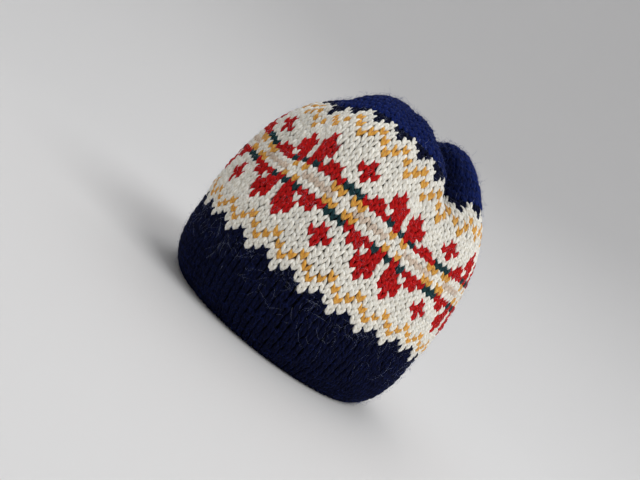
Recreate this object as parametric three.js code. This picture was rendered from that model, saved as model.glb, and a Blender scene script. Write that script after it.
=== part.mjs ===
// A hand-knitted winter cap: a ribbed band, a patterned body and a crown gathered to its centre.
// Millimetres, +Z up. The cap stands on its rim, its front faces -Y, and the origin is below its middle.
// A point of the knitted fabric is named by its turn round the cap, from the front towards +X,
// and by its station along the outline, counted from the rim to the middle of the crown.
import * as THREE from "three";
import { mergeVertices } from "three/addons/utils/BufferGeometryUtils.js";

// Driving sizes
const HALF_WIDTH = 80; // middle to side, outside, where the body is widest
const HALF_DEPTH = 85; // middle to front
const RIM_HALF_WIDTH = 67; // the ribs draw the mouth in
const SHOULDER_HALF_WIDTH = 60; // where the pattern ends and the crown starts
const BAND_HEIGHT = 37;
const BODY_HEIGHT = 97;
const CROWN_RISE = 19.5; // from the end of the pattern to the highest of the gathers
const GATHER_DIP = 9; // the drawn-up middle lies this much below the highest gathers
const WALL = 3.5; // two strands thick
const SEAM_GAP = 0.3; // between neighbouring pieces
const RIB_COUNT = 112;
const RIB_RELIEF = 1.4; // groove to ridge
const FOLD_DEPTH = 13; // the deepest valley between two gathers
const FOLD_WIDTH = 8.5; // half of a valley's mouth
const TUCK_DEPTH = 2.6; // the deepest crease in the body
const TUCK_WIDTH = 5;
const CREST_RISE = 5; // how much higher the most puffed gather stands
const CREST_WIDTH = 36; // half of its width, along the shoulder

// How the dents and ribs ease in and out, as shares
const VALLEY_POWER = 1.5; // 2 is a round bottom, 1 is a sharp one
const FOLDS_FULL_RISE = 0.5; // of the crown's rise, where the valleys reach their depth
const LEAN_SHARE = 0.6; // of the way to the middle, where the valleys have their full lean
const EVEN_MIDDLE = 0.45; // of the shoulder's half width, within which the dents die out
const TUCK_EASE = 0.15; // of the body's height, above the band
const CREST_REACH = 0.3; // of the body's height, below the shoulder
const RIB_EASE = 0.2; // of the band, at the rim and below the body
const RIM_RIB_SHARE = 0.5; // of the ribs' relief, left at the rim

// Fineness of the facets
const COLUMNS_PER_RIB = 2;
const FABRIC_COLUMNS = 96;

// The outline, one row a station: up is a share of the height of its piece, out a share of the way from
// the narrower to the wider of the piece's two half widths.
const BAND_STATIONS = [
  { up: 0, out: 0 },
  { up: 0.13, out: 0.36 },
  { up: 0.35, out: 0.73 },
  { up: 0.68, out: 0.95 },
  { up: 1, out: 1 },
];
const BODY_STATIONS = [
  { up: 0.2, out: 1 },
  { up: 0.48, out: 0.86 },
  { up: 0.72, out: 0.69 },
  { up: 0.89, out: 0.4 },
  { up: 1, out: 0 },
];
// On the crown, inward is a share of the way to the middle, rise and dip are shares of their heights.
const CROWN_STATIONS = [
  { inward: 0.13, rise: 0.43, dip: 0 },
  { inward: 0.31, rise: 0.83, dip: 0 },
  { inward: 0.5, rise: 1, dip: 0.02 },
  { inward: 0.68, rise: 1, dip: 0.2 },
  { inward: 0.85, rise: 1, dip: 0.66 },
  { inward: 1, rise: 1, dip: 1 },
];

// Valleys between the gathers: turn in degrees, lean in degrees over the crown, depth and width as shares,
// reach as the share of the body's height that the valley runs down from the shoulder.
const FOLDS = [
  { turn: 31, lean: -30, depth: 1, width: 1, reach: 0.32 },
  { turn: -64, lean: -8, depth: 0.85, width: 1.35, reach: 0.3 },
  { turn: -12, lean: -10, depth: 0.22, width: 1, reach: 0.1 },
  { turn: 92, lean: 8, depth: 0.7, width: 1, reach: 0.24 },
  { turn: 151, lean: -6, depth: 0.86, width: 1.05, reach: 0.28 },
  { turn: 212, lean: 9, depth: 0.6, width: 0.9, reach: 0.2 },
  { turn: 256, lean: 4, depth: 0.5, width: 1.1, reach: 0.18 },
];
// Creases, hollows and soft bulges of the body: turn in degrees, at and tall as shares of its height,
// depth and width as shares of a tuck's.
const TUCKS = [
  { turn: 18, at: 0.66, tall: 0.2, depth: 0.75, width: 0.8 },
  { turn: -35, at: 0.68, tall: 0.2, depth: 0.7, width: 0.8 },
  { turn: 30, at: 0.92, tall: 0.16, depth: 0.9, width: 1.6 },
  { turn: -52, at: 0.93, tall: 0.14, depth: 1, width: 2 },
  { turn: -82, at: 1.02, tall: 0.5, depth: 2, width: 6 },
  { turn: 84, at: 0.98, tall: 0.5, depth: 1.1, width: 6 },
  { turn: -88, at: 0.42, tall: 0.6, depth: -1, width: 6 },
  { turn: 88, at: 0.42, tall: 0.6, depth: -1, width: 6 },
  { turn: 118, at: 0.45, tall: 0.3, depth: 0.8, width: 3.4 },
  { turn: 196, at: 0.55, tall: 0.34, depth: 1, width: 3.8 },
  { turn: 262, at: 0.4, tall: 0.3, depth: 0.7, width: 3 },
];
// Gathers that stand higher than the others: turn in degrees, rise and width as shares of a crest's.
const CRESTS = [
  { turn: -15, rise: 0.75, width: 0.75 },
  { turn: -62, rise: 1.15, width: 0.8 },
  { turn: 45, rise: 0.45, width: 0.5 },
];

const depthRatio = HALF_DEPTH / HALF_WIDTH;
const bodyTop = BAND_HEIGHT + BODY_HEIGHT;

const blend = (low, high, share) => low + (high - low) * share;
const radians = (degrees) => THREE.MathUtils.degToRad(degrees);
const wool = (color) => new THREE.MeshStandardMaterial({ color, roughness: 0.95, metalness: 0 });

// The whole outline as one smooth curve, x outwards and y upwards.
const outline = new THREE.SplineCurve([
  ...BAND_STATIONS.map(
    (row) => new THREE.Vector2(blend(RIM_HALF_WIDTH, HALF_WIDTH, row.out), BAND_HEIGHT * row.up),
  ),
  ...BODY_STATIONS.map(
    (row) =>
      new THREE.Vector2(
        blend(SHOULDER_HALF_WIDTH, HALF_WIDTH, row.out),
        BAND_HEIGHT + BODY_HEIGHT * row.up,
      ),
  ),
  ...CROWN_STATIONS.map(
    (row) =>
      new THREE.Vector2(
        SHOULDER_HALF_WIDTH * (1 - row.inward),
        bodyTop + CROWN_RISE * row.rise - GATHER_DIP * row.dip,
      ),
  ),
]);
const RIM_STATION = 0;
const BAND_END = BAND_STATIONS.length - 1;
const BODY_END = BAND_END + BODY_STATIONS.length;
const MIDDLE_STATION = BODY_END + CROWN_STATIONS.length;

const outlinePoint = (station) => outline.getPoint(station / MIDDLE_STATION);

// The outline's direction at a station, by a small step to each side of it.
function outlineTangent(station) {
  const step = 0.01;
  const ahead = outlinePoint(Math.min(station + step, MIDDLE_STATION));
  const behind = outlinePoint(Math.max(station - step, RIM_STATION));
  return ahead.sub(behind).normalize();
}

// A station moved along the outline by a length.
function stepAlong(station, length) {
  const step = 0.01;
  const inside = THREE.MathUtils.clamp(station, step, MIDDLE_STATION - step);
  const speed = outlinePoint(inside + step).distanceTo(outlinePoint(inside - step)) / (2 * step);
  return station + length / speed;
}

// The signed angle from one turn to another, the short way round.
function turnBetween(from, to) {
  const angle = to - from;
  return Math.atan2(Math.sin(angle), Math.cos(angle));
}

// How deep the valleys between the gathers are at a point. Where they meet, their depths don't add up.
function foldDepth(turn, halfWidth, station, height) {
  const leant = THREE.MathUtils.smoothstep(station, BODY_END, blend(BODY_END, MIDDLE_STATION, LEAN_SHARE));
  let left = 1;
  for (const fold of FOLDS) {
    const start = bodyTop - BODY_HEIGHT * fold.reach;
    const full = bodyTop + CROWN_RISE * FOLDS_FULL_RISE;
    const grown = station > BODY_END + 1 ? 1 : THREE.MathUtils.smoothstep(height, start, full);
    const away = turnBetween(radians(fold.turn + fold.lean * leant), turn) * halfWidth;
    const valley = Math.exp(-(Math.abs(away / (FOLD_WIDTH * fold.width)) ** VALLEY_POWER));
    left *= 1 - fold.depth * valley * grown;
  }
  return FOLD_DEPTH * (1 - left);
}

// How deep the creases and hollows of the body are at a point.
function tuckDepth(turn, halfWidth, height) {
  let depth = 0;
  for (const tuck of TUCKS) {
    const up = (height - BAND_HEIGHT) / BODY_HEIGHT - tuck.at;
    const away = (turnBetween(radians(tuck.turn), turn) * halfWidth) / (TUCK_WIDTH * tuck.width);
    depth += TUCK_DEPTH * tuck.depth * Math.exp(-(away ** 2) - (up / (tuck.tall / 2)) ** 2);
  }
  const fromBand = THREE.MathUtils.smoothstep(height, BAND_HEIGHT, BAND_HEIGHT + BODY_HEIGHT * TUCK_EASE);
  return depth * fromBand;
}

// How much higher the fabric stands in the puffed gathers.
function crestRise(turn, height) {
  let rise = 0;
  for (const crest of CRESTS) {
    const away = turnBetween(radians(crest.turn), turn) * SHOULDER_HALF_WIDTH;
    rise += CREST_RISE * crest.rise * Math.exp(-((away / (CREST_WIDTH * crest.width)) ** 2));
  }
  return rise * THREE.MathUtils.smoothstep(height, bodyTop - BODY_HEIGHT * CREST_REACH, bodyTop);
}

// A point of the outer face of the fabric, without its ribs.
function fabricPoint(turn, station) {
  const { x: halfWidth, y: height } = outlinePoint(station);
  const tangent = outlineTangent(station);
  const fromMiddle = THREE.MathUtils.smoothstep(halfWidth / SHOULDER_HALF_WIDTH, 0, EVEN_MIDDLE);
  const dents = foldDepth(turn, halfWidth, station, height) + tuckDepth(turn, halfWidth, height);
  const depth = dents * fromMiddle;
  const out = halfWidth - depth * tangent.y;
  return new THREE.Vector3(
    Math.sin(turn) * out,
    -Math.cos(turn) * out * depthRatio,
    height + depth * tangent.x + crestRise(turn, height) * fromMiddle,
  );
}

// The outward direction of the fabric at a point. It is level at the rim and upright at the middle.
function fabricNormal(turn, station) {
  if (station >= MIDDLE_STATION) return new THREE.Vector3(0, 0, 1);
  const step = 0.02;
  const up = fabricPoint(turn, Math.min(station + step, MIDDLE_STATION));
  up.sub(fabricPoint(turn, Math.max(station - step, RIM_STATION)));
  const round = fabricPoint(turn + step, station).sub(fabricPoint(turn - step, station));
  const normal = round.cross(up);
  if (station <= RIM_STATION) normal.z = 0;
  return normal.normalize();
}

// Stations spread evenly between two ends.
function spread(from, to, count) {
  return Array.from({ length: count + 1 }, (_, index) => blend(from, to, index / count));
}

// One piece of the fabric as a closed wall: its section is turned round the axis, then each corner of the
// facets is moved to its own place on the outer or the inner face.
function fabricWall({ name, material, from, to, outerRows, innerRows, columns, relief }) {
  const outer = spread(from, to, outerRows).map((station) => ({ station, inside: false }));
  const inner = spread(to, from, innerRows).map((station) => ({ station, inside: true }));
  const section = to >= MIDDLE_STATION ? [...inner, ...outer] : [...outer, ...inner, outer[0]];
  const geometry = new THREE.LatheGeometry(
    section.map(({ station, inside }) => outlinePoint(station).setX(inside ? 1 : 2)),
    columns,
  );
  const position = geometry.getAttribute("position");
  for (let corner = 0; corner < position.count; corner += 1) {
    const { station, inside } = section[corner % section.length];
    const column = Math.floor(corner / section.length) % columns;
    const turn = (2 * Math.PI * column) / columns;
    const normal = fabricNormal(turn, station);
    const point = fabricPoint(turn, station);
    point.addScaledVector(normal, inside ? -WALL : relief(column, station));
    position.setXYZ(corner, point.x, point.y, point.z);
  }
  geometry.deleteAttribute("normal");
  geometry.deleteAttribute("uv");
  const mesh = new THREE.Mesh(mergeVertices(geometry, 1e-4), material);
  mesh.geometry.computeVertexNormals();
  mesh.name = name;
  return mesh;
}

// Ridges and grooves of the ribbing by turns. They are shallow at the rim and end below the body.
function ribRelief(column, station) {
  const along = (station - RIM_STATION) / (BAND_END - RIM_STATION);
  const atRim = blend(RIM_RIB_SHARE, 1, THREE.MathUtils.smoothstep(along, 0, RIB_EASE));
  const atBody = 1 - THREE.MathUtils.smoothstep(along, 1 - RIB_EASE, 1);
  return column % COLUMNS_PER_RIB === 0 ? 0 : -RIB_RELIEF * atRim * atBody;
}

const noRelief = () => 0;
const halfGap = SEAM_GAP / 2;

const pieces = [
  {
    name: "ribbed_band",
    material: wool(0x0e1236),
    from: RIM_STATION,
    to: stepAlong(BAND_END, -halfGap),
    outerRows: 6,
    innerRows: 3,
    columns: RIB_COUNT * COLUMNS_PER_RIB,
    relief: ribRelief,
  },
  {
    name: "patterned_body",
    material: wool(0xe1decf),
    from: stepAlong(BAND_END, halfGap),
    to: stepAlong(BODY_END, -halfGap),
    outerRows: 10,
    innerRows: 7,
    columns: FABRIC_COLUMNS,
    relief: noRelief,
  },
  {
    name: "gathered_crown",
    material: wool(0x16225a),
    from: stepAlong(BODY_END, halfGap),
    to: MIDDLE_STATION,
    outerRows: 11,
    innerRows: 8,
    columns: FABRIC_COLUMNS,
    relief: noRelief,
  },
];

const cap = new THREE.Group();
for (const piece of pieces) cap.add(fabricWall(piece));

export default cap;
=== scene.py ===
"""A hand-knitted winter cap: ribbed band, patterned body and gathered crown, stitch by stitch."""

import logging
import math
from dataclasses import dataclass, field
from enum import Enum
from typing import NamedTuple

import bmesh
import bpy
import numpy as np
from mathutils import Matrix, Vector


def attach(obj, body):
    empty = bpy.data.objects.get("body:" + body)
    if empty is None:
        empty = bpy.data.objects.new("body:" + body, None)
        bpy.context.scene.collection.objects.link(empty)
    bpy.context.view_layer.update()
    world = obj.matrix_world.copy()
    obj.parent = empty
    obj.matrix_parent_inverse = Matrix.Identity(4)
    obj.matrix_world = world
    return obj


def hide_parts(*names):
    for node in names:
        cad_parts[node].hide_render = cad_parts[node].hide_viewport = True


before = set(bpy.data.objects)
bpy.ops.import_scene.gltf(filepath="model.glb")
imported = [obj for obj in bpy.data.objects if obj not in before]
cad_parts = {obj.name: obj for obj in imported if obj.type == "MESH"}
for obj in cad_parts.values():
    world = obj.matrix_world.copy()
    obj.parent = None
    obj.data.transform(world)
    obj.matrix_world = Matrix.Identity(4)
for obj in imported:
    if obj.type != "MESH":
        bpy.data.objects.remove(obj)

LOG = logging.getLogger("knitted_cap")
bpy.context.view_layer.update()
BODY = "root"
MM = 0.001
FULL_TURN = 2 * math.pi
# Corners nearer to each other than this are merged.
SEAM = 0.01 * MM

Colour = tuple[float, float, float, float]
# What a node's inputs take, by their names or numbers: sockets or plain values.
Feeds = dict[str | int, object]


class Yarn(Enum):
    """The yarns of the cap, by their letter in the pattern chart."""

    NAVY = "N"
    WHITE = "W"
    GOLD = "Y"
    RED = "R"
    GREEN = "G"
    BEIGE = "B"

    @property
    def slot(self) -> str:
        """The record's material slot of this yarn."""
        return f"{self.name.lower()}_wool"


class Part(Enum):
    """The stretches of the fabric, by the node that each one dresses."""

    BAND = "ribbed_band"
    BODY = "patterned_body"
    CROWN = "gathered_crown"


# The rounds of the pattern, from the band up to the middle round. The rounds above it mirror them.
# A round repeats its letters, so a short one repeats more often.
PATTERN_CHART = (
    "NNWN",
    "NWWW",
    "WWYW",
    "WYWY",
    "YWWW",
    "WWWW",
    "RWWWWWRWWWRWWWWW",
    "RRWWWRRRWRRRWWWR",
    "RWWWWRRRWRRRWWWW",
    "WWWRRWRRWRRWRRWW",
    "GGRRRRGRGRGRRRRG",
    "WYYWWWWYWYWWWWYY",
    "WWBBBBBWWWBBBBBW",
)


def smooth_step(value: np.ndarray, low: float, high: float) -> np.ndarray:
    """Eases from 0 at low to 1 at high.

    Args:
        value: The values to ease.
        low: Where the result leaves 0.
        high: Where the result reaches 1.

    Returns:
        A share between 0 and 1 for each value.
    """
    share = np.clip((value - low) / (high - low), 0, 1)
    return share * share * (3 - 2 * share)


def unit(vectors: np.ndarray) -> np.ndarray:
    """Vectors of length 1 in the same directions; a vector of no length stays as it is."""
    length = np.linalg.norm(vectors, axis=-1, keepdims=True)
    return vectors / np.maximum(length, 1e-12)


def away_from(turn: np.ndarray, degrees: float | np.ndarray) -> np.ndarray:
    """The turns in radians from a direction given in degrees, the short way round."""
    away = turn - np.radians(degrees)
    return np.arctan2(np.sin(away), np.cos(away))


def linear(red: int, green: int, blue: int) -> Colour:
    """Turns a screen colour into a linear colour for a shader.

    Args:
        red: Its red, from 0 to 255.
        green: Its green.
        blue: Its blue.

    Returns:
        The linear colour, with full alpha.
    """

    def channel(value: int) -> float:
        """One channel, by the curve that all screens share."""
        share = value / 255
        return share / 12.92 if share <= 0.04045 else ((share + 0.055) / 1.055) ** 2.4

    return channel(red), channel(green), channel(blue), 1.0


class BandStation(NamedTuple):
    """A point of the band's or body's outline: shares of its height and of its change in half width."""

    up: float
    out: float


class CrownStation(NamedTuple):
    """A point of the crown's outline: shares of the way to the middle, of its rise and of its dip."""

    inward: float
    rise: float
    dip: float


class Fold(NamedTuple):
    """A valley between two gathers: degrees, shares of a valley's size, and its reach down the body."""

    turn: float
    lean: float
    depth: float
    width: float
    reach: float


class Tuck(NamedTuple):
    """A crease or a soft bulge of the body: degrees, shares of its height and of a tuck's size."""

    turn: float
    at: float
    tall: float
    depth: float
    width: float


class Crest(NamedTuple):
    """A gather that is puffed up: its turn, its rise and its half width, as shares of a crest's size."""

    turn: float
    rise: float
    width: float


class Pull(NamedTuple):
    """Where the fabric is pulled along itself: a place, the way and the reach, in stitches and rounds."""

    column: float
    row: float
    across: float
    up: float
    wide: float
    tall: float


BAND_OUTLINE = (
    BandStation(up=0, out=0),
    BandStation(up=0.13, out=0.36),
    BandStation(up=0.35, out=0.73),
    BandStation(up=0.68, out=0.95),
    BandStation(up=1, out=1),
)
BODY_OUTLINE = (
    BandStation(up=0.2, out=1),
    BandStation(up=0.48, out=0.86),
    BandStation(up=0.72, out=0.69),
    BandStation(up=0.89, out=0.4),
    BandStation(up=1, out=0),
)
CROWN_OUTLINE = (
    CrownStation(inward=0.13, rise=0.43, dip=0),
    CrownStation(inward=0.31, rise=0.83, dip=0),
    CrownStation(inward=0.5, rise=1, dip=0.02),
    CrownStation(inward=0.68, rise=1, dip=0.2),
    CrownStation(inward=0.85, rise=1, dip=0.66),
    CrownStation(inward=1, rise=1, dip=1),
)
FOLDS = (
    Fold(turn=31, lean=-30, depth=1, width=1, reach=0.32),
    Fold(turn=-64, lean=-8, depth=0.85, width=1.35, reach=0.3),
    Fold(turn=-12, lean=-10, depth=0.22, width=1, reach=0.1),
    Fold(turn=92, lean=8, depth=0.7, width=1, reach=0.24),
    Fold(turn=151, lean=-6, depth=0.86, width=1.05, reach=0.28),
    Fold(turn=212, lean=9, depth=0.6, width=0.9, reach=0.2),
    Fold(turn=256, lean=4, depth=0.5, width=1.1, reach=0.18),
)
TUCKS = (
    Tuck(turn=18, at=0.66, tall=0.2, depth=0.75, width=0.8),
    Tuck(turn=-35, at=0.68, tall=0.2, depth=0.7, width=0.8),
    Tuck(turn=30, at=0.92, tall=0.16, depth=0.9, width=1.6),
    Tuck(turn=-52, at=0.93, tall=0.14, depth=1, width=2),
    Tuck(turn=-82, at=1.02, tall=0.5, depth=2, width=6),
    Tuck(turn=84, at=0.98, tall=0.5, depth=1.1, width=6),
    Tuck(turn=-88, at=0.42, tall=0.6, depth=-1, width=6),
    Tuck(turn=88, at=0.42, tall=0.6, depth=-1, width=6),
    Tuck(turn=118, at=0.45, tall=0.3, depth=0.8, width=3.4),
    Tuck(turn=196, at=0.55, tall=0.34, depth=1, width=3.8),
    Tuck(turn=262, at=0.4, tall=0.3, depth=0.7, width=3),
)
CRESTS = (
    Crest(turn=-15, rise=0.75, width=0.75),
    Crest(turn=-62, rise=1.15, width=0.8),
    Crest(turn=45, rise=0.45, width=0.5),
)
PULLS = (
    Pull(column=0, row=0.5, across=0, up=0.5, wide=100, tall=2.5),
    Pull(column=18, row=1, across=0, up=1.2, wide=5, tall=4),
    Pull(column=-14, row=5.5, across=-0.3, up=-0.9, wide=4, tall=3),
    Pull(column=12, row=19.5, across=-1.4, up=-2, wide=6, tall=5),
    Pull(column=17.5, row=25.5, across=-1, up=-1.2, wide=3, tall=3.5),
    Pull(column=-12, row=16.5, across=1.6, up=-1.4, wide=4.5, tall=5),
    Pull(column=-12, row=25, across=1.4, up=-2.7, wide=4.5, tall=5.5),
    Pull(column=-7, row=20, across=-1, up=0.5, wide=3.5, tall=3.5),
)


@dataclass(frozen=True)
class CapForm:
    """The outer face of the fabric, in the same sizes as the cap's solids.

    A point is named by its turn round the cap, from the front towards +X, and by its station along the
    outline, counted from the rim to the middle of the crown. The values after crest_width are shares of a
    height or a width, a power, a factor, and a step along the stations.
    """

    half_width: float = 80 * MM
    half_depth: float = 85 * MM
    rim_half_width: float = 67 * MM
    shoulder_half_width: float = 60 * MM
    band_height: float = 37 * MM
    body_height: float = 97 * MM
    crown_rise: float = 19.5 * MM
    gather_dip: float = 9 * MM
    fold_depth: float = 13 * MM
    fold_width: float = 8.5 * MM
    tuck_depth: float = 2.6 * MM
    tuck_width: float = 5 * MM
    crest_rise: float = 5 * MM
    crest_width: float = 36 * MM
    crest_reach: float = 0.3
    valley_power: float = 1.5
    folds_full_rise: float = 0.5
    lean_share: float = 0.6
    even_middle: float = 0.45
    shelter_spread: float = 1.9
    tuck_ease: float = 0.15
    slope_step: float = 0.01

    band_end: int = len(BAND_OUTLINE) - 1
    body_end: int = len(BAND_OUTLINE) - 1 + len(BODY_OUTLINE)
    middle: int = len(BAND_OUTLINE) - 1 + len(BODY_OUTLINE) + len(CROWN_OUTLINE)

    @property
    def body_top(self) -> float:
        """The height where the body ends and the crown starts."""
        return self.band_height + self.body_height

    def _outline_corners(self) -> np.ndarray:
        """Works the outline's corners out.

        Returns:
            The stations' half widths and heights, from the rim to the middle.
        """
        rim, widest, shoulder = self.rim_half_width, self.half_width, self.shoulder_half_width
        rise, dip = self.crown_rise, self.gather_dip
        band = [(rim + (widest - rim) * row.out, self.band_height * row.up) for row in BAND_OUTLINE]
        body = [
            (shoulder + (widest - shoulder) * row.out, self.band_height + self.body_height * row.up)
            for row in BODY_OUTLINE
        ]
        crown = [
            (shoulder * (1 - row.inward), self.body_top + rise * row.rise - dip * row.dip)
            for row in CROWN_OUTLINE
        ]
        return np.array(band + body + crown)

    def outline(self, station: np.ndarray) -> np.ndarray:
        """The smooth outline at some stations.

        Args:
            station: Stations from 0 to the middle of the crown.

        Returns:
            Half width and height of each, on a last axis.
        """
        corners = self._outline_corners()
        last = len(corners) - 1
        start = np.clip(np.floor(station).astype(int), 0, last - 1)
        share = (station - start)[..., None]
        before, here = corners[np.maximum(start - 1, 0)], corners[start]
        ahead, beyond = corners[start + 1], corners[np.minimum(start + 2, last)]
        leave, arrive = (ahead - before) / 2, (beyond - here) / 2
        cubic = 2 * here - 2 * ahead + leave + arrive
        square = 3 * ahead - 3 * here - 2 * leave - arrive
        return ((cubic * share + square) * share + leave) * share + here

    def _valley(
        self, turn: np.ndarray, half: np.ndarray, station: np.ndarray, height: np.ndarray, spread: float
    ) -> np.ndarray:
        """How far places lie in the valleys between the gathers; where these meet, their depths don't add up.

        Args:
            turn: Turns in radians.
            half: The outline's half widths there.
            station: Stations there.
            height: The outline's heights there.
            spread: Widens or narrows the valleys.

        Returns:
            Shares between 0 and 1.
        """
        leant = smooth_step((station - self.body_end) / (self.middle - self.body_end), 0, self.lean_share)
        full = self.body_top + self.crown_rise * self.folds_full_rise
        left = np.ones_like(turn)
        for fold in FOLDS:
            start = self.body_top - self.body_height * fold.reach
            grown = np.where(station > self.body_end + 1, 1, smooth_step(height, start, full))
            away = away_from(turn, fold.turn + fold.lean * leant) * half
            valley = np.exp(-(np.abs(away / (self.fold_width * fold.width * spread)) ** self.valley_power))
            left = left * (1 - fold.depth * valley * grown)
        return 1 - left

    def _unfolded(self, half: np.ndarray) -> np.ndarray:
        """Shares that are 0 at the middle of the crown, which lies even, and 1 away from it."""
        return smooth_step(half / self.shoulder_half_width, 0, self.even_middle)

    def shelter(self, turn: np.ndarray, station: np.ndarray) -> np.ndarray:
        """How sheltered from the light places on the fabric lie; the wool's colour is darkened by it as
        painted shade.

        Args:
            turn: Turns in radians.
            station: Stations, in an array of the same shape.

        Returns:
            Shares between 0 and 1.
        """
        place = self.outline(station)
        half, height = place[..., 0], place[..., 1]
        return self._valley(turn, half, station, height, self.shelter_spread) * self._unfolded(half)

    def _tuck_depth(self, turn: np.ndarray, half: np.ndarray, height: np.ndarray) -> np.ndarray:
        """How deep the creases and hollows of the body are.

        Args:
            turn: Turns in radians.
            half: The outline's half widths there.
            height: The outline's heights there.

        Returns:
            Depths in metres, negative where the body bulges.
        """
        share = (height - self.band_height) / self.body_height
        depth = np.zeros_like(turn)
        for tuck in TUCKS:
            away = away_from(turn, tuck.turn) * half / (self.tuck_width * tuck.width)
            up = (share - tuck.at) / (tuck.tall / 2)
            depth += self.tuck_depth * tuck.depth * np.exp(-(away**2) - up**2)
        return depth * smooth_step(share, 0, self.tuck_ease)

    def _crest_rise(self, turn: np.ndarray, height: np.ndarray) -> np.ndarray:
        """How much higher the puffed gathers stand.

        Args:
            turn: Turns in radians.
            height: The outline's heights there.

        Returns:
            Rises in metres.
        """
        rise = np.zeros_like(turn)
        for crest in CRESTS:
            away = away_from(turn, crest.turn) * self.shoulder_half_width
            rise += self.crest_rise * crest.rise * np.exp(-((away / (self.crest_width * crest.width)) ** 2))
        return rise * smooth_step(height, self.body_top - self.body_height * self.crest_reach, self.body_top)

    def point(self, turn: np.ndarray, station: np.ndarray) -> np.ndarray:
        """Points of the outer face of the fabric.

        Args:
            turn: Turns in radians.
            station: Stations, in an array of the same shape.

        Returns:
            The points, in metres, on a last axis.
        """
        place = self.outline(station)
        half, height = place[..., 0], place[..., 1]
        ahead = self.outline(np.minimum(station + self.slope_step, self.middle))
        behind = self.outline(np.maximum(station - self.slope_step, 0))
        along = unit(ahead - behind)
        valleys = self.fold_depth * self._valley(turn, half, station, height, 1)
        unfolded = self._unfolded(half)
        dents = (valleys + self._tuck_depth(turn, half, height)) * unfolded
        crest = self._crest_rise(turn, height) * unfolded
        out = half - dents * along[..., 1]
        return np.stack(
            (
                np.sin(turn) * out,
                -np.cos(turn) * out * self.half_depth / self.half_width,
                height + dents * along[..., 0] + crest,
            ),
            axis=-1,
        )


@dataclass(frozen=True)
class Gauge:
    """How the cap is knitted: stitches round, rounds up, and the thickness of the yarn.

    The yarn keeps its thickness in stitches down to stitch_width, which is the crown's. The columns lean by
    the slant, in shares of the round for each row. The legs of the stitches lie below the outer face by the
    sink, and the pattern is mirrored at the middle round.
    """

    stitches: int = 112
    wedges: int = 7
    band_rounds: int = 10
    body_rounds: int = 25
    crown_rounds: int = 16
    stitch_width: float = 4.15 * MM
    yarn_radius: float = 1.06 * MM
    sink: float = 0.55 * MM
    first_turn: float = math.radians(-8.5)
    slant: float = -0.8 / 360 / 13
    middle_round: int = 13

    @property
    def rim_row(self) -> float:
        """The row at the rim; body rounds count from 1, with the band below them."""
        return self.body_row - self.band_rounds

    @property
    def body_row(self) -> float:
        """The row where the band ends and the body starts, half a stitch below the body's first round."""
        return 0.5

    @property
    def crown_row(self) -> float:
        """The row where the body ends."""
        return self.body_rounds + 0.5

    @property
    def top_row(self) -> float:
        """The row at the middle of the crown."""
        return self.crown_row + self.crown_rounds

    def chart(self, column: int, row: int) -> Yarn:
        """The yarn of one stitch.

        Args:
            column: Stitches counted round from the column of the small crosses.
            row: Body rounds from 1; other rows are plain.

        Returns:
            The stitch's yarn.
        """
        if not 1 <= row <= self.body_rounds:
            return Yarn.NAVY
        letters = PATTERN_CHART[min(row, self.body_rounds + 1 - row) - 1]
        return Yarn(letters[column % len(letters)])


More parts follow.
